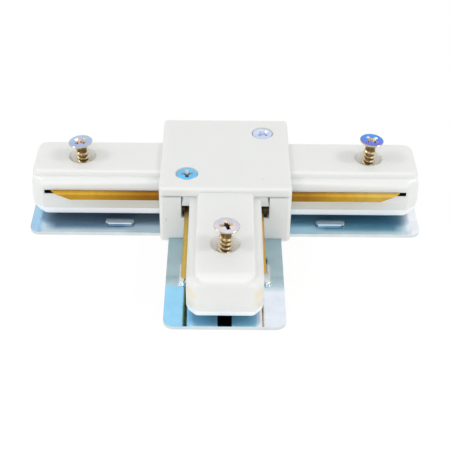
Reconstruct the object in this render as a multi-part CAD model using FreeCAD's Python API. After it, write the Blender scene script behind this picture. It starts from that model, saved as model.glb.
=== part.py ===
import FreeCAD, Part

# T-shaped connector for two-wire lighting track, in millimetres.
# The origin is the centre of the junction box on the underside of the steel plate.
# X runs from the left arm to the right arm, the front arm points to -Y, and Z is up.
# Each arm is modelled along its own axis: u outwards from the box's face, v across, z up.

import math
import os

from FreeCAD import Placement, Rotation, Vector

# Junction box and cover
box_size = 35.0             # side of the square box


def of_box(size):
    """A plan size on the 35 mm box, which keeps its share of the box's side."""
    return size * box_size / 35.0


box_height = 17.2           # underside to top of the cover
box_wall = of_box(1.8)
box_floor = 1.4
box_corner_r = 1.0          # vertical corners
box_edge_r = 0.5            # lower outer edge
seam_drop = 2.6             # from the cover's top to where it meets the box
cover_top = 1.2             # thickness of the cover's top
cover_edge_r = 0.7
lip_thick = of_box(1.0)     # lip that locates the cover in the box
lip_drop = 1.5
lip_corner = of_box(2.9)    # how far the lip runs from each front corner
fit_gap = 0.1               # between moulded parts that slot together
seat_gap = 0.05             # between a moulded part and what it rests on

# Steel plate
plate_thick = 1.0
plate_width = of_box(30.3)
plate_overhang = 0.6        # beyond the end of each arm
plate_end_r = 2.8
plate_inner_r = 1.0
bump_length = 8.2
bump_width = 2.3
bump_height = 0.8
bump_offset = of_box(10.7)  # from the arm's centre line
bump_side_u = 11.3          # from the box's face, on the left and right arms
bump_front_u = 15.8         # from the box's face, on the front arm
bump_edge_r = 0.5
sheet_stretch = 0.25        # how much thinner the sheet is over a bump

# Arms
arm_reach = 35.0            # from the box's face to the arm's end, at half height
arm_width = of_box(18.85)
arm_bottom = 2.6            # leaves the gap that the track's web slides into
arm_drop = 1.4              # from the cover's top to the rib's top
rib_height = 1.75           # above the shoulder
rib_width = of_box(14.7)
rib_end_inset = 0.05
rib_corner_r = of_box(3.2)
rib_edge_r = 0.6            # round the rib's upper edge
rib_end_r = 2.3             # over the rib's end
shoulder_r = 2.2            # along the sides, where they reach the end
shoulder_root_r = 0.9       # along the sides, at the box
shoulder_end_r = 1.5
bevel_height = 2.5          # the lower bevel, above the arm's underside
bevel_side = 0.4            # how far it leans in along the sides
bevel_end = 1.1             # and at the end
bevel_corner_u = 2.2        # its corner cut, larger than the chamfer above it
bevel_corner_v = 2.0
bevel_corner_r = 2.0        # round its corners at the underside
bevel_crisp_r = 0.02        # and where they meet the chamfer
arm_lower_r = 1.1           # round the lower edge
end_chamfer_u = 2.8
end_chamfer_v = 2.1
waist_low = 4.8             # the end is upright between these heights above the underside
waist_high = 6.0
end_draft_low = 0.25        # how far the end leans back at the bevel
end_draft_high = 0.3        # and at the shoulder
core_width = 3.4            # moulding slots in the arm's underside
core_depth = 4.8
core_end = 1.9              # from the arm's end
core_start = 2.5            # from the box's face
core_boss_r = 3.4           # solid ring left round the clamp screw

# Root of each arm inside the box
flange_thick = of_box(1.8)
flange_width = of_box(24.8)
ear_height = 2.9            # of the ears that fill the window
ear_width_low = of_box(23.1)
ear_width_top = of_box(22.2)
ear_setback = 0.1
window_low_width = of_box(19.1)
leaf_hole_drop = 3.05       # from the slot's top to the foot of the recess beside the arm
window_top_gap = 0.25       # between the rib and the cover's notch
notch_corner_r = 1.0

# Brass leaves
leaf_thick = 0.4
slot_drop = 3.2             # from the shoulder to the slot's top
slot_height = 1.2
slot_inner_v = of_box(4.5)
slot_end = 3.55             # from the arm's end
leaf_inner_v = of_box(4.6)
leaf_tip = 5.3              # from the arm's end
leaf_full = 10.5            # from the arm's end, where the curled edge has its full depth
wing_out = 1.1              # beyond the arm's side
wing_drop = 2.45            # from the slot's top to the curled edge's foot
wing_bend_r = 1.0
tail_width = of_box(2.2)
tail_inner = of_box(9.6)    # tail's end, from the box's centre line

# Links, insulator and rivets
link_thick = 0.4
link_width = of_box(2.6)
link_end = of_box(12.6)     # from the box's centre line
rivet_at = of_box(11.2)     # from the box's centre line
rivet_r = of_box(0.75)
rivet_head_r = of_box(1.25)
rivet_head = 0.45
insulator_size = of_box(7.0)
pillar_r = of_box(1.5)

# Clamp screws
bore_u = 21.7               # from the box's face
bore_r = 3.75
bore_depth = 5.3            # below the rib's top
clamp_length = 13.0
clamp_head_r = 3.25
clamp_rim = 0.3
clamp_cone = 1.6
clamp_shank_r = 1.75
clamp_point = 1.6
clamp_pilot_r = 1.4
thread_gap = 0.05
clamp_recess_r = 1.9
clamp_recess_wide = 0.95
clamp_recess_deep = 1.9

# Cover screws
cover_screw_at = of_box(10.3) # from both centre lines
cover_tip = 1.1             # height of the screw's end above the plate's underside
cover_head_r = of_box(2.8)
cover_rim = 0.3
cover_cone = 1.3
cover_shank_r = of_box(1.5)
cover_point = 0.5
cover_hole_r = of_box(1.65)
cover_sink_r = of_box(3.05)
cover_recess_r = 1.6
cover_recess_wide = 0.85
cover_recess_deep = 1.4
post_r = of_box(3.1)
collar_r = of_box(2.2)      # collar drawn up from the plate round each tapped hole
collar_height = 1.8

# How each clamp screw stands in the photo: height of its head above the arm, lean to the
# right in degrees, and how far its head stands to the right of the bore's centre
screw_stands = {
    "left": (4.75, -4.0, -0.30),
    "right": (5.95, 3.5, 0.45),
    "front": (5.70, 3.2, 0.35),
}

# How two of the leaves sit in the photo: reach beyond the arm's side, and set back from its end
leaf_stands = {
    "front_left": (1.35, 0.4),
    "front_right": (0.7, 2.2),
}

# Worked out from the values above
half = box_size / 2
cavity_half = half - box_wall
seam_z = box_height - seam_drop
arm_top = box_height - arm_drop
shoulder_z = arm_top - rib_height
flange_out = -box_wall - seat_gap
flange_in = flange_out - flange_thick
plate_half = plate_width / 2
plate_reach = half + arm_reach + plate_overhang
recess_top = plate_thick + seat_gap
floor_top = recess_top + box_floor
cover_under = box_height - cover_top
ear_top = seam_z - fit_gap
ear_bottom = ear_top - ear_height
bore_floor = arm_top - bore_depth
slot_top = shoulder_z - slot_drop
wing_low_z = slot_top - wing_drop
leaf_hole_z = slot_top - leaf_hole_drop
cover_length = box_height - fit_gap - cover_tip
leaf_z = slot_top - leaf_thick
live_z = slot_top
neutral_z = leaf_z - link_thick
tail_v = leaf_inner_v + tail_width / 2
notch_top = arm_top + window_top_gap

# Each arm's turn about Z: at 0 it points to +X
arm_turns = {"left": 180, "right": 0, "front": -90}
# The leaf on an arm's +v side and the one on its -v side
leaf_sides = {
    "left": {1: "front", -1: "rear"},
    "right": {1: "rear", -1: "front"},
    "front": {1: "right", -1: "left"},
}

up = Vector(0, 0, 1)
work = FreeCAD.newDocument("work")


def block(x0, x1, y0, y1, z0, z1):
    return Part.makeBox(x1 - x0, y1 - y0, z1 - z0, Vector(x0, y0, z0))


def rod(radius, z0, z1, x=0.0, y=0.0):
    return Part.makeCylinder(radius, z1 - z0, Vector(x, y, z0), up)


def section(points, u0, u1):
    """Solid with an outline of (v, z) points, running from u0 to u1."""
    corners = [Vector(u0, v, z) for v, z in points]
    wire = Part.makePolygon(corners + corners[:1])
    return Part.Face(wire).extrude(Vector(u1 - u0, 0, 0))


def side_outline(points, v0, v1):
    """Solid with an outline of (u, z) points, running from v0 to v1."""
    corners = [Vector(u, v0, z) for u, z in points]
    wire = Part.makePolygon(corners + corners[:1])
    return Part.Face(wire).extrude(Vector(0, v1 - v0, 0))


def join(shapes):
    whole = shapes[0].fuse(shapes[1:]) if len(shapes) > 1 else shapes[0]
    return whole.removeSplitter()


def rounded(shape, radius, test):
    """Fillet the edges whose bounding box passes the test."""
    edges = [edge for edge in shape.Edges if test(edge.BoundBox)]
    return shape.makeFillet(radius, edges)


def is_upright(bounds):
    return bounds.ZLength > 0.1 and bounds.XLength < 1e-4 and bounds.YLength < 1e-4


def is_level(bounds, z):
    return abs(bounds.ZMin - z) < 1e-4 and abs(bounds.ZMax - z) < 1e-4


def on_arm(shape, arm):
    """Move a shape from an arm's own frame to its place on the box."""
    turned = shape.copy()
    turned.translate(Vector(half, 0, 0))
    turned.rotate(Vector(0, 0, 0), up, arm_turns[arm])
    return turned


def stadium(length, width, z0, z1, x=0.0, y=0.0):
    """Round-ended bar along X."""
    run = (length - width) / 2
    bar = block(x - run, x + run, y - width / 2, y + width / 2, z0, z1)
    ends = [rod(width / 2, z0, z1, x - run, y), rod(width / 2, z0, z1, x + run, y)]
    return join([bar] + ends)


# Arms

def varying_fillet(shape, radii):
    """Round edges given as (edge number, radius at its start, radius at its end)."""
    base = work.addObject("Part::Feature", "Base")
    base.Shape = shape
    fillet = work.addObject("Part::Fillet", "Rounded")
    fillet.Base = base
    fillet.Edges = radii
    work.recompute()
    return fillet.Shape


def end_fillet(shape, z, half_width, root_r, side_r, end_r):
    """Round the edges at height z: root_r to side_r along the sides, end_r over the end.

    Between them, on the corner edges, the radius runs evenly from one to the other.
    """
    radii = []
    for number, edge in enumerate(shape.Edges, start=1):
        bounds = edge.BoundBox
        if not is_level(bounds, z) or bounds.XMax < -box_wall + 0.1:
            continue
        start = edge.valueAt(edge.FirstParameter)
        if bounds.YLength < 1e-4 and start.x < 0:
            radii.append((number, root_r, side_r))
        elif bounds.YLength < 1e-4:
            radii.append((number, side_r, root_r))
        elif bounds.XLength < 1e-4:
            radii.append((number, end_r, end_r))
        elif abs(abs(start.y) - half_width) < 1e-4:
            radii.append((number, side_r, end_r))
        else:
            radii.append((number, end_r, side_r))
    return varying_fillet(shape, radii)


def corner_fillet(shape):
    """Round the bevel's corner edges: crisp where they start, full at the underside."""
    top = arm_bottom + bevel_height
    radii = []
    for number, edge in enumerate(shape.Edges, start=1):
        bounds = edge.BoundBox
        upright = abs(bounds.ZMin - arm_bottom) < 1e-4 and abs(bounds.ZMax - top) < 1e-4
        if not upright or bounds.XMax < 0:
            continue
        start = edge.valueAt(edge.FirstParameter)
        if start.z < arm_bottom + 0.1:
            radii.append((number, bevel_corner_r, bevel_crisp_r))
        else:
            radii.append((number, bevel_crisp_r, bevel_corner_r))
    return varying_fillet(shape, radii)


def arm_rib():
    """Raised rib, open to the box, with rounded end corners."""
    v = rib_width / 2
    end = arm_reach - rib_end_inset
    rib = block(-box_wall, end, -v, v, shoulder_z - 1.5, arm_top)
    rib = rounded(rib, rib_corner_r, lambda b: is_upright(b) and b.XMin > end - 0.1)
    rib = rounded(rib, rib_edge_r, lambda b: is_level(b, arm_top) and b.XMax > -box_wall + 0.1)
    low = arm_top - rib_end_r
    corner = block(end - rib_end_r, end + 1, -v - 1, v + 1, low, arm_top + 1)
    nose = Part.makeCylinder(rib_end_r, 2 * v + 2, Vector(end - rib_end_r, -v - 1, low),
                             Vector(0, 1, 0))
    return rib.cut(corner.cut(nose))


def body_ring(z, end, half_width, cut_u, cut_v):
    """Plan of the arm's body at height z, with its two end corners cut off."""
    u = end - cut_u
    v = half_width - cut_v
    plan = [(-box_wall, -half_width), (u, -half_width), (end, -v),
            (end, v), (u, half_width), (-box_wall, half_width)]
    corners = [Vector(x, y, z) for x, y in plan]
    return Part.makePolygon(corners + corners[:1])


def arm_body():
    """Wide lower body: chamfered end corners, upright waist, bevelled and rounded below."""
    v = arm_width / 2
    bevel_top = arm_reach - end_draft_low
    rings = [body_ring(arm_bottom, bevel_top - bevel_end, v - bevel_side,
                       bevel_corner_u, bevel_corner_v)]
    for z, end in ((arm_bottom + bevel_height, bevel_top),
                   (arm_bottom + waist_low, arm_reach),
                   (arm_bottom + waist_high, arm_reach),
                   (shoulder_z, arm_reach - end_draft_high)):
        rings.append(body_ring(z, end, v, end_chamfer_u, end_chamfer_v))
    body = corner_fillet(Part.makeLoft(rings, True, True))
    body = end_fillet(body, shoulder_z, v, shoulder_root_r, shoulder_r, shoulder_end_r)
    return end_fillet(body, arm_bottom, v - bevel_side, arm_lower_r, arm_lower_r, arm_lower_r)


def arm_root():
    """Ears in the box's window and the flange that keeps the arm in the box."""
    ears = section([(-ear_width_low / 2, ear_bottom), (ear_width_low / 2, ear_bottom),
                    (ear_width_top / 2, ear_top), (-ear_width_top / 2, ear_top)],
                   flange_out, -ear_setback)
    flange = block(flange_in, flange_out, -flange_width / 2, flange_width / 2,
                   floor_top + seat_gap, ear_top)
    neck = block(flange_out, 0, -rib_width / 2, rib_width / 2, shoulder_z - 1.0, ear_top)
    return [ears, flange, neck]


def core_outs():
    """Two slots in the underside that keep the moulding's walls even."""
    start = core_start
    near = bore_u - core_boss_r
    far = bore_u + core_boss_r
    end = arm_reach - core_end
    depth = arm_bottom + core_depth
    w = core_width / 2
    return [block(start, near, -w, w, arm_bottom - 1, depth),
            block(far, end, -w, w, arm_bottom - 1, depth)]


def screw_axis(arm):
    """A clamp screw's head centre and upward direction in the part's frame."""
    raised, lean, aside = screw_stands[arm]
    bore = on_arm(Part.Vertex(bore_u, 0, arm_top + raised), arm).Point
    head = bore + Vector(aside, 0, 0)
    angle = math.radians(lean)
    return head, Vector(math.sin(angle), 0, math.cos(angle))


def thread_hole(arm):
    """Hole that the leaning screw has cut for itself below the bore."""
    head, axis = screw_axis(arm)
    tip = head - axis * (head.z + 1)
    return Part.makeCylinder(clamp_shank_r + thread_gap, head.z, tip, axis)


def make_arm(arm):
    solid = join([arm_body(), arm_rib()] + arm_root())
    cuts = core_outs()
    for side in (-1, 1):
        inner = slot_inner_v * side
        outer = (flange_width / 2 + 1) * side
        low, high = sorted((inner, outer))
        cuts.append(block(flange_in - 1, arm_reach - slot_end, low, high,
                          slot_top - slot_height, slot_top))
    cuts.append(rod(bore_r, bore_floor, arm_top + 1, bore_u))
    cuts.append(rod(clamp_pilot_r, arm_bottom - 1, bore_floor + 1, bore_u))
    solid = on_arm(solid.cut(cuts), arm)
    tall = block(-plate_reach, plate_reach, -plate_reach, plate_reach, 0, bore_floor + 0.5)
    return solid.cut(thread_hole(arm).common(tall)).removeSplitter()


# Brass leaves

def wing_section(wing):
    """Outline of the leaf's curled edge in (v, z), with true arcs at the bend."""
    wall = arm_width / 2
    outer = wall + wing
    inner = outer - leaf_thick
    bend = outer - wing_bend_r
    inner_r = wing_bend_r - leaf_thick
    mid = math.sqrt(0.5)
    bend_z = slot_top - wing_bend_r

    def at(v, z):
        return Vector(0, v, z)

    edges = [
        Part.LineSegment(at(leaf_inner_v, slot_top), at(bend, slot_top)),
        Part.Arc(at(bend, slot_top),
                 at(bend + wing_bend_r * mid, bend_z + wing_bend_r * mid), at(outer, bend_z)),
        Part.LineSegment(at(outer, bend_z), at(outer, wing_low_z)),
        Part.LineSegment(at(outer, wing_low_z), at(inner, wing_low_z)),
        Part.LineSegment(at(inner, wing_low_z), at(inner, bend_z)),
        Part.Arc(at(inner, bend_z),
                 at(bend + inner_r * mid, bend_z + inner_r * mid), at(bend, leaf_z)),
        Part.LineSegment(at(bend, leaf_z), at(leaf_inner_v, leaf_z)),
        Part.LineSegment(at(leaf_inner_v, leaf_z), at(leaf_inner_v, slot_top)),
    ]
    return Part.Wire([edge.toShape() for edge in edges])


def make_leaf(arm, side):
    """Strip in the arm's slot, curled edge outside it, narrow tail inside the box."""
    wing, set_back = leaf_stands.get(arm + "_" + leaf_sides[arm][side], (wing_out, 0.0))
    start = -box_wall + fit_gap
    end = arm_reach - leaf_tip - set_back
    full = arm_reach - leaf_full - set_back
    wall = arm_width / 2
    strip = Part.Face(wing_section(wing)).extrude(Vector(end - start, 0, 0))
    strip.translate(Vector(start, 0, 0))
    slant = side_outline([(full, wing_low_z), (end, slot_top), (end + 5, slot_top),
                          (end + 5, wing_low_z - 3), (full, wing_low_z - 3)],
                         wall, wall + wing + 1)
    strip = strip.cut(slant)
    through = block(flange_in, start, leaf_inner_v, wall - fit_gap, leaf_z, slot_top)
    tail = block(tail_inner - half, flange_in, leaf_inner_v, leaf_inner_v + tail_width,
                 leaf_z, slot_top)
    hole = rod(rivet_r, leaf_z - 1, slot_top + 1, rivet_at - half, tail_v)
    leaf = join([strip, through, tail]).cut(hole)
    if side < 0:
        leaf = leaf.mirror(Vector(0, 0, 0), Vector(0, 1, 0))
    return on_arm(leaf, arm)


# Links inside the box

def make_link(z0, row_y, branch_x):
    """Flat strip along X at row_y with a branch to the front arm at branch_x."""
    w = link_width / 2
    row = block(-link_end, link_end, row_y - w, row_y + w, z0, z0 + link_thick)
    branch = block(branch_x - w, branch_x + w, -link_end, row_y, z0, z0 + link_thick)
    link = join([row, branch])
    ends = [rod(rivet_r, z0 - 1, z0 + 2, x, y) for x, y in link_rivet_places(row_y, branch_x)]
    return link.cut(ends)


def link_rivet_places(row_y, branch_x):
    return [(-rivet_at, row_y), (rivet_at, row_y), (branch_x, -rivet_at)]


def make_rivets(z0, row_y, branch_x):
    """Three rivets through the link and the leaf tails, with domed heads."""
    z1 = z0 + link_thick + leaf_thick
    rivets = []
    for x, y in link_rivet_places(row_y, branch_x):
        shank = rod(rivet_r, z0, z1, x, y)
        top = Part.makeCone(rivet_head_r, rivet_r, rivet_head, Vector(x, y, z1), up)
        low = Part.makeCone(rivet_r, rivet_head_r, rivet_head, Vector(x, y, z0 - rivet_head), up)
        rivets.append(join([shank, top, low]))
    return Part.makeCompound(rivets)


def make_insulator():
    """Sheet between the links where the neutral link passes under the live one."""
    centre = tail_v
    w = insulator_size / 2
    return block(centre - w, centre + w - 0.2, -centre - w + 0.2, -centre + w, leaf_z, slot_top)


# Screws

def cross_recess(radius, wide, deep):
    """Cross-shaped recess that narrows downwards from z = 0."""
    bars = [block(-radius, radius, -wide / 2, wide / 2, -deep, 0.1),
            block(-wide / 2, wide / 2, -radius, radius, -deep, 0.1)]
    taper = Part.makeCone(wide * 0.45, radius, deep, Vector(0, 0, -deep), up)
    lead = rod(radius, 0, 0.1)
    return join(bars).common(join([taper, lead]))


def make_screw(length, head_r, rim, cone, shank_r, point, recess):
    """Countersunk screw with the centre of its head's top at the origin, pointing down."""
    point_r = shank_r * 0.35
    outline = [(0, 0), (head_r, 0), (head_r, -rim), (shank_r, -rim - cone),
               (shank_r, -length + point), (point_r, -length), (0, -length)]
    corners = [Vector(x, 0, z) for x, z in outline]
    wire = Part.makePolygon(corners + corners[:1])
    body = Part.Face(wire).revolve(Vector(0, 0, 0), up, 360)
    return body.cut(cross_recess(*recess))


def make_clamp_screw(arm):
    screw = make_screw(clamp_length, clamp_head_r, clamp_rim, clamp_cone, clamp_shank_r,
                       clamp_point, (clamp_recess_r, clamp_recess_wide, clamp_recess_deep))
    head, axis = screw_axis(arm)
    screw.Placement = Placement(head, Rotation(up, axis))
    return screw


def make_cover_screw(side):
    """side is -1 for the front left corner and 1 for the rear right corner."""
    screw = make_screw(cover_length, cover_head_r, cover_rim, cover_cone, cover_shank_r,
                       cover_point, (cover_recess_r, cover_recess_wide, cover_recess_deep))
    screw.translate(Vector(cover_screw_at * side, cover_screw_at * side, box_height - fit_gap))
    return screw


def post_places():
    return [(cover_screw_at * side, cover_screw_at * side) for side in (-1, 1)]


# Junction box

def plate_outline(grow, z0, z1):
    """T-shaped plan of the plate, made larger all round by grow, inner corners rounded."""
    w = plate_half + grow
    reach = plate_reach + grow
    bar = block(-reach, reach, -w, w, z0, z1)
    stem = block(-w, w, -reach, 0, z0, z1)

    def at_inner(bounds):
        return is_upright(bounds) and abs(bounds.XMin) < w + 0.1 and -w - 0.1 < bounds.YMin < 0

    return rounded(join([bar, stem]), plate_inner_r - grow, at_inner)


def make_box():
    body = block(-half, half, -half, half, 0, seam_z)
    body = rounded(body, box_corner_r, is_upright)
    body = rounded(body, box_edge_r, lambda b: is_level(b, 0))
    cavity = block(-cavity_half, cavity_half, -cavity_half, cavity_half, floor_top, seam_z + 1)
    body = body.cut(cavity)

    posts = [rod(post_r, recess_top, seam_z, x, y) for x, y in post_places()]
    pillars = [rod(pillar_r, recess_top, neutral_z, 0, tail_v),
               rod(pillar_r, recess_top, live_z, 0, -tail_v)]
    body = join([body] + posts + pillars)

    cuts = [plate_outline(fit_gap, -1, recess_top)]
    for arm in arm_turns:
        for window in arm_windows():
            cuts.append(on_arm(window, arm))
    for x, y in post_places():
        cuts.append(rod(cover_hole_r, 0, seam_z + 1, x, y))
        cuts.append(rod(collar_r + fit_gap, 0, plate_thick + collar_height + fit_gap, x, y))
    return body.cut(cuts).removeSplitter()


def arm_windows():
    """Opening for the arm, and the wider opening above it for the ears and the leaves."""
    low = window_low_width / 2
    wide = ear_width_low / 2 + fit_gap
    return [block(-box_wall - 0.5, 1, -low, low, arm_bottom - seat_gap, seam_z + 1),
            block(-box_wall - 0.5, 1, -wide, wide, leaf_hole_z, seam_z + 1)]


# Cover

def cover_lip():
    """Lip that drops inside the box: along the rear wall and round each corner."""
    outer = cavity_half - fit_gap
    inner = outer - lip_thick
    ring = block(-outer, outer, -outer, outer, seam_z - lip_drop, cover_under)
    ring = ring.cut(block(-inner, inner, -inner, inner, seam_z - lip_drop - 1, cover_under + 1))
    keep = outer - lip_corner
    gaps = [block(-half, half, -keep, keep, 0, seam_z),
            block(-keep, keep, -half, 0, 0, seam_z)]
    return ring.cut(gaps)


def hold_downs():
    """Ribs under the cover that press on each arm's flange."""
    ribs = []
    for arm in arm_turns:
        for side in (-1, 1):
            low, high = sorted((side * (rib_width / 2 + 1.0), side * (flange_width / 2 - 0.4)))
            rib = block(flange_in + 0.3, flange_out - 0.3, low, high, ear_top, cover_under)
            ribs.append(on_arm(rib, arm))
    return ribs


def cover_notch():
    """Notch for an arm's rib, with rounded upper corners."""
    w = rib_width / 2 + fit_gap
    notch = block(flange_in - 0.2, 1, -w, w, seam_z - 1, notch_top)
    return rounded(notch, notch_corner_r,
                   lambda b: is_level(b, notch_top) and b.XLength > 1)


def make_cover():
    shell = block(-half, half, -half, half, seam_z, box_height)
    shell = rounded(shell, box_corner_r, is_upright)
    shell = rounded(shell, cover_edge_r, lambda b: is_level(b, box_height))
    shell = shell.cut(block(-cavity_half, cavity_half, -cavity_half, cavity_half,
                            seam_z - 1, cover_under))
    bosses = [rod(post_r, seam_z, cover_under, x, y) for x, y in post_places()]
    cover = join([shell, cover_lip()] + bosses + hold_downs())

    cuts = [on_arm(cover_notch(), arm) for arm in arm_turns]
    for x, y in post_places():
        sink = cover_sink_r - cover_hole_r
        top = Vector(x, y, box_height - cover_rim - sink)
        cuts.append(rod(cover_hole_r, 0, box_height + 1, x, y))
        cuts.append(rod(cover_sink_r, box_height - cover_rim, box_height + 1, x, y))
        cuts.append(Part.makeCone(cover_hole_r, cover_sink_r, sink, top, up))
    return cover.cut(cuts).removeSplitter()


# Steel plate

def bump_places():
    """Centre and turn of each pressed bump."""
    places = []
    for arm, turn in arm_turns.items():
        u = half + (bump_front_u if arm == "front" else bump_side_u)
        for v in (-bump_offset, bump_offset):
            places.append((u, v, turn))
    return places


def make_plate():
    plate = plate_outline(0, 0, plate_thick)
    ends = plate_reach - 0.1

    def at_end(bounds):
        return is_upright(bounds) and (abs(bounds.XMin) > ends or bounds.YMin < -ends)

    plate = rounded(plate, plate_end_r, at_end)

    adds = []
    cuts = []
    crown = plate_thick + bump_height
    hollow_width = bump_width - 2 * (plate_thick - sheet_stretch) / 2
    hollow_length = bump_length - bump_width + hollow_width
    for u, v, turn in bump_places():
        bump = stadium(bump_length, bump_width, plate_thick / 2, crown, u, v)
        bump = rounded(bump, bump_edge_r, lambda b: is_level(b, crown))
        hollow = stadium(hollow_length, hollow_width, -0.1, bump_height, u, v)
        for shape, group in ((bump, adds), (hollow, cuts)):
            shape.rotate(Vector(0, 0, 0), up, turn)
            group.append(shape)
    for x, y in post_places():
        adds.append(rod(collar_r, plate_thick / 2, plate_thick + collar_height, x, y))
        cuts.append(rod(cover_shank_r + thread_gap, -1, box_height, x, y))
    return join([plate] + adds).cut(cuts).removeSplitter()


def all_parts():
    parts = {"junction_box": make_box(), "top_cover": make_cover(), "base_plate": make_plate()}
    for arm in arm_turns:
        parts["arm_" + arm] = make_arm(arm)
        parts["clamp_screw_" + arm] = make_clamp_screw(arm)
        for side, name in leaf_sides[arm].items():
            parts["leaf_" + arm + "_" + name] = make_leaf(arm, side)
    parts["live_link"] = make_link(live_z, -tail_v, -tail_v)
    parts["neutral_link"] = make_link(neutral_z, tail_v, tail_v)
    parts["live_rivets"] = make_rivets(leaf_z, -tail_v, -tail_v)
    parts["neutral_rivets"] = make_rivets(neutral_z, tail_v, tail_v)
    parts["link_insulator"] = make_insulator()
    parts["cover_screw_front"] = make_cover_screw(-1)
    parts["cover_screw_rear"] = make_cover_screw(1)
    return parts


os.makedirs("parts", exist_ok=True)
for node, shape in all_parts().items():
    shape.exportStep("parts/" + node + ".step")
    print(node, "valid" if shape.isValid() else "NOT VALID", len(shape.Solids), "solids",
          round(shape.Volume, 2), "mm3")
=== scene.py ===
import math

import bmesh
import bpy
from mathutils import Matrix, Vector


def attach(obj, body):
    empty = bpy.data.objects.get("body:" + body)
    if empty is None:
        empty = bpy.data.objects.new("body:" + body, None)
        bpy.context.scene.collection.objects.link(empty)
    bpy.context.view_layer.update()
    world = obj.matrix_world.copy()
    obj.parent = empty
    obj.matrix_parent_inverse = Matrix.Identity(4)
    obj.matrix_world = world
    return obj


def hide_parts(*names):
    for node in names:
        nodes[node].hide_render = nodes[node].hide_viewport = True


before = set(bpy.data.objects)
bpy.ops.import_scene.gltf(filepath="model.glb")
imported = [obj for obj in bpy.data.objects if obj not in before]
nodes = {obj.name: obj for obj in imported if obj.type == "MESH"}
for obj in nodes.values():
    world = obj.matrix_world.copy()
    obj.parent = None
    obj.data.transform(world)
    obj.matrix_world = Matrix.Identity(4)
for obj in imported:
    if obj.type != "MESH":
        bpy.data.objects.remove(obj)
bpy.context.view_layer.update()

# Looks of the T-shaped track connector. Sizes in the tables are in millimetres and become
# metres where they reach the scene. X runs from the left arm to the right arm, the front arm
# points to -Y and Z is up.

MM = 0.001


def mm(x, y, z):
    return Vector((x * MM, y * MM, z * MM))


def tint(red, green, blue):
    """A colour written as 0-255 screen values, as the linear values that a shader takes."""
    linear = []
    for value in (red, green, blue):
        v = value / 255
        linear.append(v / 12.92 if v <= 0.04045 else ((v + 0.055) / 1.055) ** 2.4)
    return (*linear, 1.0)


# Camera, at the photograph's viewing angle

camera_place = (-0.993, -252.106, 178.392)
camera_turn = (0.235, 36.389, 0.623)    # yaw, downward pitch and roll, in degrees
picture_width = 450                     # pixels
focal_length = 1091.03                  # pixels
sensor_width = 36


def place_camera():
    yaw, pitch, roll = (math.radians(angle) for angle in camera_turn)
    ahead = Vector((math.sin(yaw) * math.cos(pitch), math.cos(yaw) * math.cos(pitch),
                    -math.sin(pitch)))
    level = Vector((math.cos(yaw), -math.sin(yaw), 0))
    above = level.cross(ahead)
    right = level * math.cos(roll) + above * math.sin(roll)
    top = above * math.cos(roll) - level * math.sin(roll)
    data = bpy.data.cameras.new("camera")
    data.sensor_width = sensor_width
    data.lens = sensor_width * focal_length / picture_width
    data.clip_start = 0.01
    data.clip_end = 10
    camera = bpy.data.objects.new("camera", data)
    turn = Matrix((right, top, -ahead)).transposed().to_4x4()
    camera.matrix_world = Matrix.Translation(mm(*camera_place)) @ turn
    bpy.context.scene.collection.objects.link(camera)
    bpy.context.scene.camera = camera


# Building blocks for materials

def add(tree, kind, inputs=None, **settings):
    """Add a shader node; an input given as a socket is linked, anything else is its value."""
    made = tree.nodes.new(kind)
    for name, value in settings.items():
        setattr(made, name, value)
    for name, value in (inputs or {}).items():
        if isinstance(value, bpy.types.NodeSocket):
            tree.links.new(value, made.inputs[name])
        else:
            made.inputs[name].default_value = value
    return made


def number(tree, operation, *values):
    """Result of a sum on numbers or number sockets."""
    return add(tree, "ShaderNodeMath", dict(enumerate(values)), operation=operation).outputs[0]


def vector(tree, operation, *values):
    """Result of a sum on vectors or vector sockets."""
    return add(tree, "ShaderNodeVectorMath", dict(enumerate(values)),
               operation=operation).outputs[0]


def new_group(name, takes, gives):
    """Node group with the named inputs and outputs; returns it with its two ends' sockets."""
    group = bpy.data.node_groups.new(name, "ShaderNodeTree")
    for socket, kind, value in takes:
        made = group.interface.new_socket(socket, in_out="INPUT", socket_type=kind)
        if value is not None:
            made.default_value = value
    for socket, kind in gives:
        group.interface.new_socket(socket, in_out="OUTPUT", socket_type=kind)
    start = group.nodes.new("NodeGroupInput")
    end = group.nodes.new("NodeGroupOutput")
    return group, start.outputs, end.inputs


def make_patch_group():
    """Soft-edged box: 1 inside, falling to 0 over the softness beyond its faces."""
    group, given, result = new_group(
        "soft patch",
        [("Position", "NodeSocketVector", None), ("Low", "NodeSocketVector", None),
         ("High", "NodeSocketVector", None), ("Softness", "NodeSocketVector", None),
         ("Strength", "NodeSocketFloat", 1.0)],
        [("Mask", "NodeSocketFloat")])
    from_low = vector(group, "SUBTRACT", given["Position"], given["Low"])
    to_high = vector(group, "SUBTRACT", given["High"], given["Position"])
    inside = vector(group, "MINIMUM", from_low, to_high)
    eased = vector(group, "DIVIDE", inside, given["Softness"])
    raised = vector(group, "ADD", eased, (1, 1, 1))
    floored = vector(group, "MAXIMUM", raised, (0, 0, 0))
    held = vector(group, "MINIMUM", floored, (1, 1, 1))
    along = add(group, "ShaderNodeSeparateXYZ", {0: held}).outputs
    plan = number(group, "MULTIPLY", along[0], along[1])
    full = number(group, "MULTIPLY", plan, along[2])
    mask = number(group, "MULTIPLY", full, given["Strength"])
    group.links.new(mask, result["Mask"])
    return group


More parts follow.
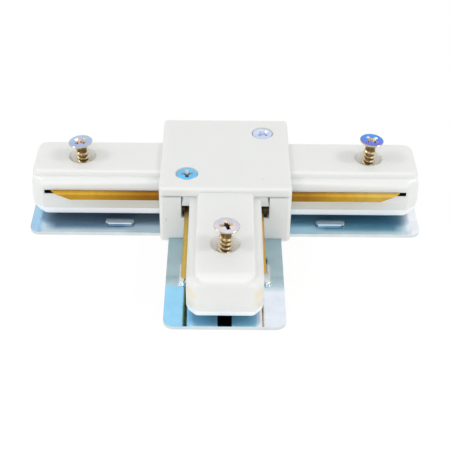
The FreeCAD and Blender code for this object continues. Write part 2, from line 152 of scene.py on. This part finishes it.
def make_speckle_group():
    """Fine uneven tone: a factor round 1 that darkens or lightens a colour, and its noise."""
    group, given, result = new_group(
        "fine tone",
        [("Position", "NodeSocketVector", None), ("Grain", "NodeSocketFloat", 1.0),
         ("Amount", "NodeSocketFloat", 0.05)],
        [("Factor", "NodeSocketFloat"), ("Height", "NodeSocketFloat")])
    fine = add(group, "ShaderNodeTexNoise",
               {"Vector": given["Position"], "Scale": given["Grain"], "Detail": 3.0})
    spread = add(group, "ShaderNodeMapRange",
                 {"Value": fine.outputs["Fac"], "From Min": 0.25, "From Max": 0.75,
                  "To Min": -1.0, "To Max": 1.0})
    factor = number(group, "MULTIPLY_ADD", spread.outputs[0], given["Amount"], 1.0)
    group.links.new(factor, result["Factor"])
    group.links.new(fine.outputs["Fac"], result["Height"])
    return group


patch_group = make_patch_group()
speckle_group = make_speckle_group()


def patch_mask(tree, place, patch):
    """Mask of one patch given as (low corner, high corner, softness, colour, strength).

    The softness is one length for all directions, or one for each of X, Y and Z.
    """
    low, high, softness, _, strength = patch
    spread = softness if isinstance(softness, tuple) else (softness,) * 3
    made = add(tree, "ShaderNodeGroup", node_tree=patch_group)
    tree.links.new(place, made.inputs["Position"])
    made.inputs["Low"].default_value = mm(*low)
    made.inputs["High"].default_value = mm(*high)
    made.inputs["Softness"].default_value = mm(*spread)
    made.inputs["Strength"].default_value = strength
    return made.outputs["Mask"]


def paint(tree, place, colour, patches):
    """Lay soft patches of colour over a colour, in order."""
    for patch in patches:
        mask = patch_mask(tree, place, patch)
        mix = add(tree, "ShaderNodeMix", data_type="RGBA")
        tree.links.new(mask, mix.inputs["Factor"])
        if isinstance(colour, tuple):
            mix.inputs["A"].default_value = colour
        else:
            tree.links.new(colour, mix.inputs["A"])
        mix.inputs["B"].default_value = tint(*patch[3])
        colour = mix.outputs["Result"]
    return colour


def toned(tree, place, colour, grain, amount):
    """The colour with a fine uneven tone, and the noise that made it."""
    speckle = add(tree, "ShaderNodeGroup", node_tree=speckle_group)
    tree.links.new(place, speckle.inputs["Position"])
    speckle.inputs["Grain"].default_value = grain
    speckle.inputs["Amount"].default_value = amount
    mix = add(tree, "ShaderNodeVectorMath", operation="SCALE")
    if isinstance(colour, tuple):
        mix.inputs[0].default_value = colour[:3]
    else:
        tree.links.new(colour, mix.inputs[0])
    tree.links.new(speckle.outputs["Factor"], mix.inputs["Scale"])
    return mix.outputs[0], speckle.outputs["Height"]


class Finish:
    """Material round one Principled shader that works in the object's coordinates."""

    def __init__(self, name, **plain):
        self.material = bpy.data.materials.new(name)
        self.material.use_nodes = True
        self.tree = self.material.node_tree
        self.shader = self.tree.nodes["Principled BSDF"]
        for socket, value in plain.items():
            self.shader.inputs[socket.replace("_", " ")].default_value = value
        self.place = add(self.tree, "ShaderNodeTexCoord").outputs["Object"]

    def colour(self, base, patches, grain, amount, rough):
        """Base colour and patches with a fine tone that also varies the roughness."""
        colour = paint(self.tree, self.place, tint(*base), patches)
        colour, height = toned(self.tree, self.place, colour, grain, amount)
        self.tree.links.new(colour, self.shader.inputs["Base Color"])
        spread = add(self.tree, "ShaderNodeMapRange",
                     {"Value": height, "From Min": 0.1, "From Max": 0.9, "To Min": rough[0],
                      "To Max": rough[1]})
        self.tree.links.new(spread.outputs[0], self.shader.inputs["Roughness"])

    def glow(self, patches):
        """Painted glow: light that comes out of the material in the patches."""
        painted_glow = paint(self.tree, self.place, tint(0, 0, 0), patches)
        self.tree.links.new(painted_glow, self.shader.inputs["Emission Color"])
        self.shader.inputs["Emission Strength"].default_value = 1.0

    def fine_bump(self, grain, detail, distance, strength):
        """Fine unevenness of the surface; the distance is in millimetres."""
        fine = add(self.tree, "ShaderNodeTexNoise",
                   {"Vector": self.place, "Scale": grain, "Detail": detail})
        bump = add(self.tree, "ShaderNodeBump",
                   {"Height": fine.outputs["Fac"], "Distance": distance * MM,
                    "Strength": strength})
        self.tree.links.new(bump.outputs[0], self.shader.inputs["Normal"])


# Tables of patches

def along_arms(near, far, side_low, side_high, low, high):
    """The same box on the left, right and front arm, near to far from the part's middle."""
    return [((-far, side_low, low), (-near, side_high, high)),
            ((near, side_low, low), (far, side_high, high)),
            ((side_low, -far, low), (side_high, -near, high))]


def painted(boxes, softness, colour, strength):
    """One patch of the colour for each box."""
    return [(low, high, softness, colour, strength) for low, high in boxes]


def both_sides(low, high, softness, colour, strength):
    """A patch on the part's left half, and its mirror image on the right half."""
    boxes = [(low, high), ((-high[0], low[1], low[2]), (-low[0], high[1], high[2]))]
    return painted(boxes, softness, colour, strength)


# White moulded plastic

body_white = (236, 237, 235)
seam_line = (186, 193, 196)
recess_shade = (104, 92, 62)
# painted shade inside the leaves' slots and the arms' core-outs
painted_slot_shade = (22, 24, 24)
shaded_white = (222, 219, 208)
lit_white = (250, 250, 248)
# painted light on the arms' rounded undersides, from the bright plate below
painted_underside_light = (253, 253, 253)
# painted warm reflection on the chamfers at the front arm's end
painted_facet_reflection = (236, 228, 204)

joint_light = (150, 150, 148)    # painted glow that lightens the shade in the gap where rib and cover meet
bore_light = (82, 82, 79)        # painted glow in a bore, for the light that comes through its wall
bevel_light = (88, 88, 88)       # painted glow on the lower bevels, for light bounced up from the bright plate

# The seam between cover and box, beside each arm and along the rear
seam_low, seam_high = 14.34, 14.80
seam_middle = 11.95
seam_half = 3.65
seams = [box for middle in (-seam_middle, seam_middle)
         for box in along_arms(16, 30, middle - seam_half, middle + seam_half,
                               seam_low, seam_high)]
seams.append(((-15.6, 16, seam_low), (15.6, 30, seam_high)))
box_patches = painted(seams, (1.5, 1.5, 0.08), seam_line, 0.9) + [
    ((-11.2, -16.9, 4.0), (11.2, -10, 12.2), 0.2, recess_shade, 1.0),
    # a dark speck on the cover and a faint mark in the front wall
    ((10.05, -12.85, 17.0), (10.2, -12.7, 17.2), 0.1, (120, 122, 124), 0.8),
    ((-15.8, -17.7, 6.9), (-15.6, -17.3, 7.2), (0.3, 0.5, 0.6), (205, 207, 208), 0.6),
]
joint_glow = painted(along_arms(16.0, 17.46, -7.7, 7.7, 14.4, 16.2), 0.02, joint_light, 1.0)

bores = along_arms(35.4, 43.0, -3.8, 3.8, 10.0, 15.6)
slots = along_arms(16, 49, -9.2, 9.2, 9.4, 11.0)
core_outs = along_arms(18, 51.25, -1.75, 1.75, 2.0, 8.0)
bevels = (along_arms(16, 60, -10.5, -7.6, 3.2, 4.9) + along_arms(16, 60, 7.6, 10.5, 3.2, 4.9)
          + along_arms(50.4, 60, -10.5, 10.5, 3.2, 4.9))
undersides = [((-60, -10, 2.0), (60, 10, 4.7)), ((-10, -60, 2.0), (10, -16, 4.7))]
arm_glow = (painted(bores, 0.1, bore_light, 1.0)
            + painted(bevels, (0.1, 0.1, 0.3), bevel_light, 1.0))
arm_patches = (
    # painted light on the rounded undersides, from the bright plate below
    painted(undersides, 0.4, painted_underside_light, 1.0)
    # shade under the leaves' curled edges
    + [((-30, -9.6, 5.12), (-16, -7.9, 7.4), (16, 0.1, 0.1), shaded_white, 1.0),
       ((16, -9.6, 5.12), (34, -7.9, 7.4), (16, 0.1, 0.1), shaded_white, 1.0)]
    + both_sides((-9.6, -48, 5.12), (-7.9, -16, 7.4), (0.1, 5, 0.1), shaded_white, 0.9)
    # painted cream reflection on the chamfers at the front arm's end, stronger towards the top
    + both_sides((-9.6, -56, 6.5), (-7.1, -47, 10.9), (0.2, 0.5, 0.6), painted_facet_reflection, 0.5)
    + both_sides((-9.6, -56, 9.4), (-7.1, -47, 10.9), (0.2, 0.5, 0.6), painted_facet_reflection, 0.7)
    # painted shade in the core-outs under the arms
    + painted(core_outs, 0.04, painted_slot_shade, 1.0)
    + both_sides((-12.6, -17.6, 4.0), (-9.75, -12, 10.6), 0.15, recess_shade, 1.0)
    # painted shade in the leaves' slots
    + painted(slots, 0.12, painted_slot_shade, 1.0)
    + painted(bores, 0.1, lit_white, 1.0))


def white_plastic(name, patches, depth, glow):
    """Moulded plastic that light sinks into, to the depth in millimetres."""
    finish = Finish(name, Specular_IOR_Level=0.4, Subsurface_Weight=0.5,
                    Subsurface_Scale=depth * MM, Subsurface_Radius=(1.0, 0.9, 0.8))
    finish.colour(body_white, patches, 60.0, 0.006, (0.27, 0.33))
    finish.glow(glow)
    finish.fine_bump(2500.0, 1.0, 0.004, 0.05)
    return finish.material


# Brass of the leaves, links and rivets

leaf_gold = (186, 145, 50)
link_gold = (200, 158, 70)
leaf_patches = [
    # painted light on the curled edges, then painted shade towards the box
    ((-70, -15, 6.0), (70, 15, 8.3), (1, 1, 0.5), (210, 168, 72), 0.7),
    ((-22, -15, 0), (-12, 15, 20), 14.0, (140, 92, 26), 0.9),
    ((12, -15, 0), (22, 15, 20), 8.0, (144, 102, 34), 0.8),
    # the front arm's left and right leaf, and the end of the right arm's leaves
    ((-12, -60, 0), (-7, -16, 20), 1.0, (202, 178, 92), 0.8),
    ((7, -60, 0), (12, -16, 20), 1.0, (220, 174, 74), 0.8),
    ((40, -15, 0), (60, 15, 20), (8, 1, 1), (212, 184, 96), 0.5),
    # painted shade on the leaves inside the box
    ((-17.4, -18.4, 0), (17.4, 17.4, 20), (0.8, 4.5, 1), (70, 56, 26), 1.0),
]


def brass(name, base, patches):
    finish = Finish(name, Metallic=1.0)
    finish.colour(base, patches, 700.0, 0.10, (0.42, 0.58))
    finish.fine_bump(1600.0, 2.0, 0.02, 0.25)
    return finish.material


# Zinc-plated steel sheet, with the blue cast of its passivation and painted reflections of the
# arms and the surroundings

zinc_blue = (212, 230, 238)
plate_patches = [
    # painted reflections at the ends of the left and right run, on the front run and at its two
    # corners
    ((-70, -20, 0), (-50.5, 20, 3), 1.2, (160, 200, 230), 0.9),
    ((50.5, -20, 0), (70, 20, 3), 1.2, (238, 241, 247), 0.9),
    ((-20, -46, 0), (20, -16, 3), 2.0, (178, 204, 214), 0.9),
    ((-20, -70, 0), (-8.8, -38.5, 3), (1.0, 1.5, 1.0), (152, 214, 248), 0.95),
    ((8.8, -70, 0), (20, -40, 3), (1.0, 2.5, 1.0), (230, 236, 245), 0.95),
    # painted reflection of the arms' shaded undersides, deep blue beside and under the left
    # arm, then the right one
    ((-46, -12.6, 0), (-19, 12.6, 3), (4, 2.4, 1), (96, 126, 152), 0.95),
    ((-46, -10.2, 0), (-16, 10.2, 3), (4, 1.6, 1), (158, 180, 198), 0.9),
    ((21, -12.9, 0), (46, 12.9, 3), (4, 2.4, 1), (84, 136, 158), 0.95),
    ((16, -10.2, 0), (46, 10.2, 3), (4, 1.6, 1), (140, 186, 208), 0.9),
    # painted reflections before the front arm's end, and beside the box
    ((-7.6, -52.6, 0), (7.6, -46, 3), (0.5, 0.6, 1), (164, 212, 234), 0.95),
    ((10, -14, 0), (24, 14, 3), (4, 2, 1), (160, 200, 218), 0.9),
    ((-24, -14, 0), (-10, 14, 3), (4, 2, 1), (172, 192, 206), 0.9),
]
# the pressed bumps, in the tones of their painted reflections
bumps = [(x, y, 4.1, 1.15, (156, 170, 180)) for x in (-28.8, 28.8) for y in (-10.7, 10.7)]
bumps += [(x, -33.3, 1.15, 4.1, (222, 228, 232)) for x in (-10.7, 10.7)]
plate_patches += [((x - half_x, y - half_y, 1.1), (x + half_x, y + half_y, 3), 0.25, shade, 0.9)
                  for x, y, half_x, half_y, shade in bumps]
# the cut edge and the underside
plate_patches.append(((-70, -70, -1), (70, 70, 0.8), 0.12, (216, 222, 222), 0.95))


def plated_sheet(name, base, patches):
    finish = Finish(name, Metallic=1.0)
    finish.colour(base, patches, 260.0, 0.06, (0.07, 0.13))
    finish.fine_bump(1200.0, 3.0, 0.006, 0.1)
    return finish.material


# Screw steel and insulating paper

def screw_steel(name, base, patches=(), metal=1.0):
    finish = Finish(name, Metallic=metal)
    finish.colour(base, patches, 500.0, 0.08, (0.16, 0.26))
    return finish.material


def insulating_sheet(name):
    finish = Finish(name)
    finish.colour((206, 178, 128), [], 600.0, 0.12, (0.6, 0.8))
    return finish.material


# Meshes

def linked(name, bm):
    """The bmesh as an object in the scene."""
    mesh = bpy.data.meshes.new(name)
    bm.to_mesh(mesh)
    bm.free()
    made = bpy.data.objects.new(name, mesh)
    bpy.context.scene.collection.objects.link(made)
    return made


def turned(bm, verts, degrees, axis):
    bmesh.ops.rotate(bm, verts=verts, cent=(0, 0, 0),
                     matrix=Matrix.Rotation(math.radians(degrees), 3, axis))


def spun(bm, outline, steps):
    """Revolve an outline of (radius, height) points, in millimetres, about Z."""
    verts = [bm.verts.new(mm(radius, 0, height)) for radius, height in outline]
    edges = [bm.edges.new(pair) for pair in zip(verts, verts[1:])]
    bmesh.ops.spin(bm, geom=verts + edges, cent=(0, 0, 0), axis=(0, 0, 1),
                   angle=2 * math.pi, steps=steps, use_merge=True)
    bmesh.ops.remove_doubles(bm, verts=bm.verts, dist=1e-7)


def cross_cutter(radius, wide, deep):
    """Cross-shaped point of a driver bit: four sloping wings round a blunt cone."""
    above = 0.25    # how far it stands out of the head
    bm = bmesh.new()
    for turn in (0, 90):
        bar = bmesh.ops.create_cube(bm, size=1)["verts"]
        for vert in bar:
            at_foot = vert.co.z < 0
            length = radius * (0.3 if at_foot else 1.12)
            width = wide * (0.7 if at_foot else 1.03)
            depth = -deep if at_foot else above
            vert.co = mm(2 * length * vert.co.x, width * vert.co.y, depth)
        turned(bm, bar, turn, "Z")
    height = deep * 0.92 + above
    cone = bmesh.ops.create_cone(bm, cap_ends=True, segments=24, radius1=wide * 0.42 * MM,
                                 radius2=wide * 0.92 * MM, depth=height * MM)["verts"]
    bmesh.ops.translate(bm, verts=cone, vec=mm(0, 0, above - height / 2))
    return linked("cutter", bm)


def cut_with(bm, cutter):
    """The bmesh with the cutter taken out of it."""
    blank = linked("blank", bm)
    cut = blank.modifiers.new("recess", "BOOLEAN")
    cut.object = cutter
    cut.operation = "DIFFERENCE"
    cut.solver = "EXACT"
    cut.use_self = True
    bpy.context.view_layer.update()
    seen = blank.evaluated_get(bpy.context.evaluated_depsgraph_get())
    result = bmesh.new()
    result.from_mesh(seen.to_mesh())
    seen.to_mesh_clear()
    for extra in (blank, cutter):
        bpy.data.objects.remove(extra)
    return result


def add_thread(bm, core, crest, pitch, start, end, point):
    """Ridge that winds down the shank between two heights, fading in and out.

    Below the height of the point its crest draws in with the screw's tip.
    """
    steps = 28              # in a turn
    buried = core - 0.12    # radius of the ridge's foot, inside the shank
    foot_half = pitch * 0.30
    crest_half = 0.05
    fade = 1.0              # length over which the ridge grows or ends
    tip_slope = 0.72
    tip_radius = 0.3
    old = set(bm.verts)
    corners = [(buried, foot_half), (crest, crest_half), (crest, -crest_half),
               (buried, -foot_half)]
    ring = [bm.verts.new(mm(radius, 0, start + height)) for radius, height in corners]
    face = bm.faces.new(ring)
    count = round(steps * (start - end) / pitch)
    bmesh.ops.spin(bm, geom=[face] + list(face.edges) + ring, cent=(0, 0, 0),
                   axis=(0, 0, 1), dvec=mm(0, 0, -pitch / steps),
                   angle=2 * math.pi * count / steps, steps=count, use_merge=False)
    fresh = [vert for vert in bm.verts if vert not in old]
    rims = {edge for vert in fresh for edge in vert.link_edges if edge.is_boundary}
    bmesh.ops.holes_fill(bm, edges=list(rims), sides=4)
    for vert in fresh:
        height = vert.co.z / MM
        radius = math.hypot(vert.co.x, vert.co.y) / MM
        share = min(1, (start - height + 0.3) / fade, max(0.0, (height - end + 0.2) / fade))
        limit = crest - max(0, point - height) * tip_slope
        wanted = min(buried + (radius - buried) * share, max(limit, tip_radius))
        vert.co.x *= wanted / radius
        vert.co.y *= wanted / radius


def smooth_by_angle(piece, angle):
    """Smooth shading, with edges sharper than the angle kept crisp."""
    bm = bmesh.new()
    bm.from_mesh(piece.data)
    for face in bm.faces:
        face.smooth = True
    for edge in bm.edges:
        edge.smooth = len(edge.link_faces) == 2 and edge.calc_face_angle() < math.radians(angle)
    bm.to_mesh(piece.data)
    bm.free()


# Screws

HEAD_TOP, RECESS, RIM_AND_THREAD, BETWEEN_TURNS = range(4)    # a screw's four finishes; between a clamp screw's turns it is painted shade

# Each shape is an outline of (radius, height) points, then a cross recess's half length, width
# and depth, then a thread's core and crest radius, pitch, start, end and the point's height.
clamp_shape = (
    [(0, 0), (2.9, 0.0), (3.12, -0.05), (3.25, -0.18), (3.22, -0.36), (1.55, -1.85),
     (1.35, -2.15), (1.35, -11.4), (0.95, -12.2), (0.35, -12.9), (0, -13.0)],
    (1.85, 1.0, 1.75),
    (1.35, 1.78, 1.3, -2.7, -12.5, -11.4))
cover_shape = (
    [(0, 0), (2.5, 0.0), (2.68, -0.04), (2.8, -0.15), (2.78, -0.32), (1.4, -1.65),
     (1.25, -1.8), (1.25, -15.4), (0.9, -15.85), (0, -16.0)],
    (1.8, 0.95, 1.4),
    (1.25, 1.5, 0.5, -3.0, -15.8, -15.3))

# Each screw: its head's top centre, lean to the right and turn in degrees, colour of the head's
# top and of its rear half, of the recess and of the painted shade at the recess's foot, and
# that foot's reach to the left, right, front and rear of the centre.
# painted shade at the foot of a clamp screw's recess
recess_foot_shade = (44, 34, 20)
clamp_screws = {
    "left": ((-39.5, 0, 20.55), -4.0, 48, (172, 188, 226), (176, 200, 224),
             (244, 224, 206), recess_foot_shade, (-0.75, 0.75, -1.2, 0.6)),
    "right": ((39.65, 0, 21.75), 3.5, 40, (116, 124, 220), (72, 150, 236),
              (236, 226, 218), recess_foot_shade, (-0.8, 0.9, -2.0, 0.5)),
    "front": ((0.35, -39.2, 21.5), 3.2, 15, (224, 220, 230), (206, 204, 216),
              (246, 228, 196), recess_foot_shade, (-0.6, 0.6, -2.0, 1.4)),
}
cover_screws = {
    "front": ((-10.3, -10.3, 17.1), 0, 2, (105, 198, 250), (110, 200, 250),
              (206, 212, 210), (84, 84, 80), (-0.7, 0.7, -1.9, 0.9)),
    "rear": ((10.3, 10.3, 17.1), 0, 48, (200, 214, 246), (206, 222, 246),
             (214, 221, 234), (180, 186, 198), (-0.6, 0.6, -1.4, 0.3)),
}


def finish_of(face, core):
    """Which of a screw's four finishes a face of it has."""
    middle = face.calc_center_median() / MM
    radius = math.hypot(middle.x, middle.y)
    outward = face.normal.x * middle.x + face.normal.y * middle.y
    if middle.z > -0.15 and face.normal.z > 0.97:
        return HEAD_TOP
    if middle.z > -2.0:
        return RECESS if outward < 0.05 else RIM_AND_THREAD
    return BETWEEN_TURNS if radius < core + 0.04 or face.normal.z < -0.3 else RIM_AND_THREAD


def head_finishes(name, head, top, rear, recess, foot, reach):
    """Finishes of a head's flat top and of its recess, with painted shade at the recess's foot.
    """
    x, y, z = head
    left, right, near, far = reach
    rear_half = ((x - 4, y + 1.2, z - 4), (x + 4, y + 5, z + 4), 2.4, rear, 1.0)
    # painted shade at the foot of the recess
    at_foot = ((x + left, y + near, z - 3), (x + right, y + far, z - 0.4), 0.2, foot, 1.0)
    return (screw_steel("plated head, " + name, top, [rear_half]),
            screw_steel("recess, " + name, recess, [at_foot], 0.4))


def screw_piece(name, body, head, lean, turn, shape, finishes):
    """Countersunk cross-recess screw, its head's top centre at head, leaning to the right."""
    outline, recess, thread = shape
    bm = bmesh.new()
    spun(bm, outline, 64)
    bm = cut_with(bm, cross_cutter(*recess))
    add_thread(bm, *thread)
    bmesh.ops.recalc_face_normals(bm, faces=bm.faces)
    for face in bm.faces:
        face.material_index = finish_of(face, thread[0])
    turned(bm, bm.verts, turn, "Z")
    turned(bm, bm.verts, lean, "Y")
    bmesh.ops.translate(bm, verts=bm.verts, vec=mm(*head))
    bmesh.ops.recalc_face_normals(bm, faces=bm.faces)
    piece = linked(name + "_threaded", bm)
    for finish in finishes:
        piece.data.materials.append(finish)
    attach(piece, body)
    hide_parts(name)
    smooth_by_angle(piece, 35)


def make_screws():
    nickel = screw_steel("nickel screw steel", (206, 190, 158))
    # painted shade between the threads and under them
    groove = screw_steel("shaded nickel between the threads", (128, 112, 82))
    for side, (head, lean, turn, *colours) in clamp_screws.items():
        finishes = head_finishes(side, head, *colours)
        screw_piece("clamp_screw_" + side, side + "_screw", head, lean, turn, clamp_shape,
                    finishes + (nickel, groove))
    zinc = screw_steel("zinc screw steel", (176, 182, 184))
    for side, (head, lean, turn, *colours) in cover_screws.items():
        finishes = head_finishes("cover " + side, head, *colours)
        screw_piece("cover_screw_" + side, "connector", head, lean, turn, cover_shape,
                    finishes + (zinc, zinc))


# The pieces that keep their CAD mesh

def dress_cad_nodes():
    white = white_plastic("white moulded plastic, arms", arm_patches, 3.0, arm_glow)
    box_white = white_plastic("white moulded plastic, box", box_patches, 1.0, joint_glow)
    gold = brass("brass leaf", leaf_gold, leaf_patches)
    inner = brass("brass inside the box", link_gold, [])
    sheet = plated_sheet("blue zinc plated sheet", zinc_blue, plate_patches)
    paper = insulating_sheet("insulating paper")
    finishes = {"arm": white, "junction": box_white, "top": box_white, "leaf": gold,
                "base": sheet, "link": paper, "live": inner, "neutral": inner}
    for name, piece in nodes.items():
        kind = name.split("_")[0]
        if kind in finishes:
            piece.data.materials.clear()
            piece.data.materials.append(finishes[kind])


# Stage, in metres

floor_half = 1.5
floor_drop = 0.0001
lamp_aim = (0, -0.02, 0.01)


def background_rays(tree):
    """1 for rays that show the background: straight, reflected or through glass."""
    path = add(tree, "ShaderNodeLightPath").outputs
    either = number(tree, "MAXIMUM", path["Is Camera Ray"], path["Is Glossy Ray"])
    return number(tree, "MAXIMUM", either, path["Is Transmission Ray"])


def make_floor():
    bm = bmesh.new()
    bmesh.ops.create_grid(bm, x_segments=1, y_segments=1, size=floor_half)
    bmesh.ops.translate(bm, verts=bm.verts, vec=(0, 0, -floor_drop))
    floor = linked("floor", bm)
    material = bpy.data.materials.new("pale floor")
    material.use_nodes = True
    tree = material.node_tree
    tree.nodes.clear()
    share = number(tree, "MULTIPLY", background_rays(tree), 0.8)
    matt = add(tree, "ShaderNodeBsdfDiffuse", {"Color": (0.9, 0.9, 0.9, 1)})
    white = add(tree, "ShaderNodeEmission", {"Color": (1, 1, 1, 1), "Strength": 1.05})
    mix = add(tree, "ShaderNodeMixShader",
              {0: share, 1: matt.outputs[0], 2: white.outputs[0]})
    out = add(tree, "ShaderNodeOutputMaterial")
    tree.links.new(mix.outputs[0], out.inputs["Surface"])
    floor.data.materials.append(material)


def light_world():
    """Soft light from all round, with plain white behind the part."""
    world = bpy.data.worlds.new("studio")
    bpy.context.scene.world = world
    world.use_nodes = True
    tree = world.node_tree
    tree.nodes.clear()
    soft = add(tree, "ShaderNodeBackground", {"Color": (1, 1, 1, 1), "Strength": 0.65})
    white = add(tree, "ShaderNodeBackground", {"Color": (1, 1, 1, 1), "Strength": 1.0})
    mix = add(tree, "ShaderNodeMixShader",
              {0: background_rays(tree), 1: soft.outputs[0], 2: white.outputs[0]})
    out = add(tree, "ShaderNodeOutputWorld")
    tree.links.new(mix.outputs[0], out.inputs["Surface"])


def add_lamp(name, place, size, power):
    data = bpy.data.lights.new(name, "AREA")
    data.shape = "SQUARE"
    data.size = size
    data.energy = power
    lamp = bpy.data.objects.new(name, data)
    lamp.location = place
    towards = Vector(lamp_aim) - Vector(place)
    lamp.rotation_euler = towards.to_track_quat("-Z", "Y").to_euler()
    bpy.context.scene.collection.objects.link(lamp)


def light_scene():
    light_world()
    add_lamp("left softbox", (-0.5, -0.05, 0.48), 0.1, 0.75)
    add_lamp("right softbox", (0.5, -0.05, 0.48), 0.1, 0.85)
    add_lamp("front softbox", (-0.1, -0.75, 0.35), 0.6, 1.65)


place_camera()
light_scene()
make_floor()
dress_cad_nodes()
make_screws()

scene = bpy.context.scene
scene.view_settings.view_transform = "Standard"
